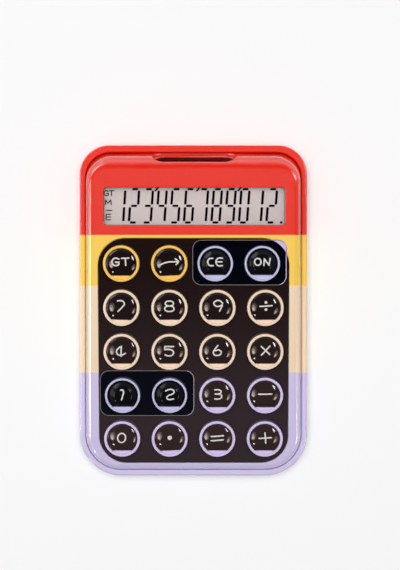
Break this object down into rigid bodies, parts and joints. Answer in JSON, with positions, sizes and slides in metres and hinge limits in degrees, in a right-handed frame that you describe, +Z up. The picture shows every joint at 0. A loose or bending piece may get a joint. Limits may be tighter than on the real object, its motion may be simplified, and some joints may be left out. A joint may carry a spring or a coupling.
{
  "type": "solar calculator",
  "caption": "Flat desk calculator with rounded corners, round domed keys in a black plate, a grey display, a solar cell in the rear slope and a raised rim.",
  "frame": {"origin": "on the surface that it stands on, under the middle of the case", "axes": "+Z up, +Y from the keys to the display, +X to the right of a person reading the display"},
  "size_m": [0.1, 0.1454, 0.0239],
  "materials": {
    "case_bands": "satin moulded shell in four colour bands: red, yellow, beige and lavender",
    "keypad_black": "polished",
    "panel_black": "polished, with a pale edge",
    "key_yellow": "satin",
    "key_cream": "satin",
    "key_lavender": "satin",
    "key_lilac": "satin",
    "key_dome": "polished dome with a printed legend",
    "clear_window": "clear, polished",
    "display_glass": "grey reflective display",
    "solar_cover": "clear, polished",
    "solar_silicon": "dark amorphous cell with fine bright lines",
    "holder_white": "moulded",
    "ribbon_amber": "flexible film",
    "board_green": "solder mask",
    "chip_black": "epoxy blob",
    "membrane_rubber": "silicone sheet",
    "foot_rubber": "matte",
    "cell_steel": "plated can",
    "contact_steel": "nickel-plated strip",
    "screw_steel": "zinc-plated",
    "lead_insulation": "insulated lead"
  },
  "bodies": {
    "case": {"top_shell": "case_bands", "bottom_shell": "case_bands", "keypad_plate": "keypad_black", "key_group_inlays": "panel_black", "display_window": "clear_window", "lcd_panel": "display_glass", "lcd_holder": "holder_white", "lcd_ribbon": "ribbon_amber", "main_board": "board_green", "chip_blob": "chip_black", "key_membrane": "membrane_rubber", "solar_window": "solar_cover", "solar_cell": "solar_silicon", "lead_wires": "lead_insulation", "button_cell": "cell_steel", "battery_spring": "contact_steel", "battery_clip": "contact_steel", "case_screws": "screw_steel", "rubber_feet": "foot_rubber"},
    "key_gt": {"key_gt_cup": "key_yellow", "key_gt_dome": "key_dome"},
    "key_arrow": {"key_arrow_cup": "key_yellow", "key_arrow_dome": "key_dome"},
    "key_ce": {"key_ce_cup": "key_lilac", "key_ce_dome": "key_dome"},
    "key_on": {"key_on_cup": "key_lilac", "key_on_dome": "key_dome"},
    "key_7": {"key_7_cup": "key_cream", "key_7_dome": "key_dome"},
    "key_8": {"key_8_cup": "key_cream", "key_8_dome": "key_dome"},
    "key_9": {"key_9_cup": "key_cream", "key_9_dome": "key_dome"},
    "key_divide": {"key_divide_cup": "key_cream", "key_divide_dome": "key_dome"},
    "key_4": {"key_4_cup": "key_cream", "key_4_dome": "key_dome"},
    "key_5": {"key_5_cup": "key_cream", "key_5_dome": "key_dome"},
    "key_6": {"key_6_cup": "key_cream", "key_6_dome": "key_dome"},
    "key_multiply": {"key_multiply_cup": "key_cream", "key_multiply_dome": "key_dome"},
    "key_1": {"key_1_cup": "key_lilac", "key_1_dome": "key_dome"},
    "key_2": {"key_2_cup": "key_lilac", "key_2_dome": "key_dome"},
    "key_3": {"key_3_cup": "key_lavender", "key_3_dome": "key_dome"},
    "key_subtract": {"key_subtract_cup": "key_lavender", "key_subtract_dome": "key_dome"},
    "key_0": {"key_0_cup": "key_lavender", "key_0_dome": "key_dome"},
    "key_point": {"key_point_cup": "key_lavender", "key_point_dome": "key_dome"},
    "key_equals": {"key_equals_cup": "key_lavender", "key_equals_dome": "key_dome"},
    "key_add": {"key_add_cup": "key_lavender", "key_add_dome": "key_dome"},
    "door": {"battery_door": "case_bands"}
  },
  "joints": [
    {"name": "key_gt_press", "type": "slide", "parent": "case", "child": "key_gt", "axis": [0, 0.0785, -0.9969], "range_m": [0, 0.0013], "stiffness_N_per_m": 400, "springref_m": -0.0003, "deforming": ["key_membrane"]},
    {"name": "key_arrow_press", "type": "slide", "parent": "case", "child": "key_arrow", "axis": [0, 0.0785, -0.9969], "range_m": [0, 0.0013], "stiffness_N_per_m": 400, "springref_m": -0.0003, "deforming": ["key_membrane"]},
    {"name": "key_ce_press", "type": "slide", "parent": "case", "child": "key_ce", "axis": [0, 0.0785, -0.9969], "range_m": [0, 0.0013], "stiffness_N_per_m": 400, "springref_m": -0.0003, "deforming": ["key_membrane"]},
    {"name": "key_on_press", "type": "slide", "parent": "case", "child": "key_on", "axis": [0, 0.0785, -0.9969], "range_m": [0, 0.0013], "stiffness_N_per_m": 400, "springref_m": -0.0003, "deforming": ["key_membrane"]},
    {"name": "key_7_press", "type": "slide", "parent": "case", "child": "key_7", "axis": [0, 0.0785, -0.9969], "range_m": [0, 0.0013], "stiffness_N_per_m": 400, "springref_m": -0.0003, "deforming": ["key_membrane"]},
    {"name": "key_8_press", "type": "slide", "parent": "case", "child": "key_8", "axis": [0, 0.0785, -0.9969], "range_m": [0, 0.0013], "stiffness_N_per_m": 400, "springref_m": -0.0003, "deforming": ["key_membrane"]},
    {"name": "key_9_press", "type": "slide", "parent": "case", "child": "key_9", "axis": [0, 0.0785, -0.9969], "range_m": [0, 0.0013], "stiffness_N_per_m": 400, "springref_m": -0.0003, "deforming": ["key_membrane"]},
    {"name": "key_divide_press", "type": "slide", "parent": "case", "child": "key_divide", "axis": [0, 0.0785, -0.9969], "range_m": [0, 0.0013], "stiffness_N_per_m": 400, "springref_m": -0.0003, "deforming": ["key_membrane"]},
    {"name": "key_4_press", "type": "slide", "parent": "case", "child": "key_4", "axis": [0, 0.0785, -0.9969], "range_m": [0, 0.0013], "stiffness_N_per_m": 400, "springref_m": -0.0003, "deforming": ["key_membrane"]},
    {"name": "key_5_press", "type": "slide", "parent": "case", "child": "key_5", "axis": [0, 0.0785, -0.9969], "range_m": [0, 0.0013], "stiffness_N_per_m": 400, "springref_m": -0.0003, "deforming": ["key_membrane"]},
    {"name": "key_6_press", "type": "slide", "parent": "case", "child": "key_6", "axis": [0, 0.0785, -0.9969], "range_m": [0, 0.0013], "stiffness_N_per_m": 400, "springref_m": -0.0003, "deforming": ["key_membrane"]},
    {"name": "key_multiply_press", "type": "slide", "parent": "case", "child": "key_multiply", "axis": [0, 0.0785, -0.9969], "range_m": [0, 0.0013], "stiffness_N_per_m": 400, "springref_m": -0.0003, "deforming": ["key_membrane"]},
    {"name": "key_1_press", "type": "slide", "parent": "case", "child": "key_1", "axis": [0, 0.0785, -0.9969], "range_m": [0, 0.0013], "stiffness_N_per_m": 400, "springref_m": -0.0003, "deforming": ["key_membrane"]},
    {"name": "key_2_press", "type": "slide", "parent": "case", "child": "key_2", "axis": [0, 0.0785, -0.9969], "range_m": [0, 0.0013], "stiffness_N_per_m": 400, "springref_m": -0.0003, "deforming": ["key_membrane"]},
    {"name": "key_3_press", "type": "slide", "parent": "case", "child": "key_3", "axis": [0, 0.0785, -0.9969], "range_m": [0, 0.0013], "stiffness_N_per_m": 400, "springref_m": -0.0003, "deforming": ["key_membrane"]},
    {"name": "key_subtract_press", "type": "slide", "parent": "case", "child": "key_subtract", "axis": [0, 0.0785, -0.9969], "range_m": [0, 0.0013], "stiffness_N_per_m": 400, "springref_m": -0.0003, "deforming": ["key_membrane"]},
    {"name": "key_0_press", "type": "slide", "parent": "case", "child": "key_0", "axis": [0, 0.0785, -0.9969], "range_m": [0, 0.0013], "stiffness_N_per_m": 400, "springref_m": -0.0003, "deforming": ["key_membrane"]},
    {"name": "key_point_press", "type": "slide", "parent": "case", "child": "key_point", "axis": [0, 0.0785, -0.9969], "range_m": [0, 0.0013], "stiffness_N_per_m": 400, "springref_m": -0.0003, "deforming": ["key_membrane"]},
    {"name": "key_equals_press", "type": "slide", "parent": "case", "child": "key_equals", "axis": [0, 0.0785, -0.9969], "range_m": [0, 0.0013], "stiffness_N_per_m": 400, "springref_m": -0.0003, "deforming": ["key_membrane"]},
    {"name": "key_add_press", "type": "slide", "parent": "case", "child": "key_add", "axis": [0, 0.0785, -0.9969], "range_m": [0, 0.0013], "stiffness_N_per_m": 400, "springref_m": -0.0003, "deforming": ["key_membrane"]},
    {"name": "battery_door_hinge", "type": "hinge", "parent": "case", "child": "door", "pos_m": [0, 0.036, 0.001], "axis": [-1, 0, 0], "range_deg": [0, 80]}
  ]
}
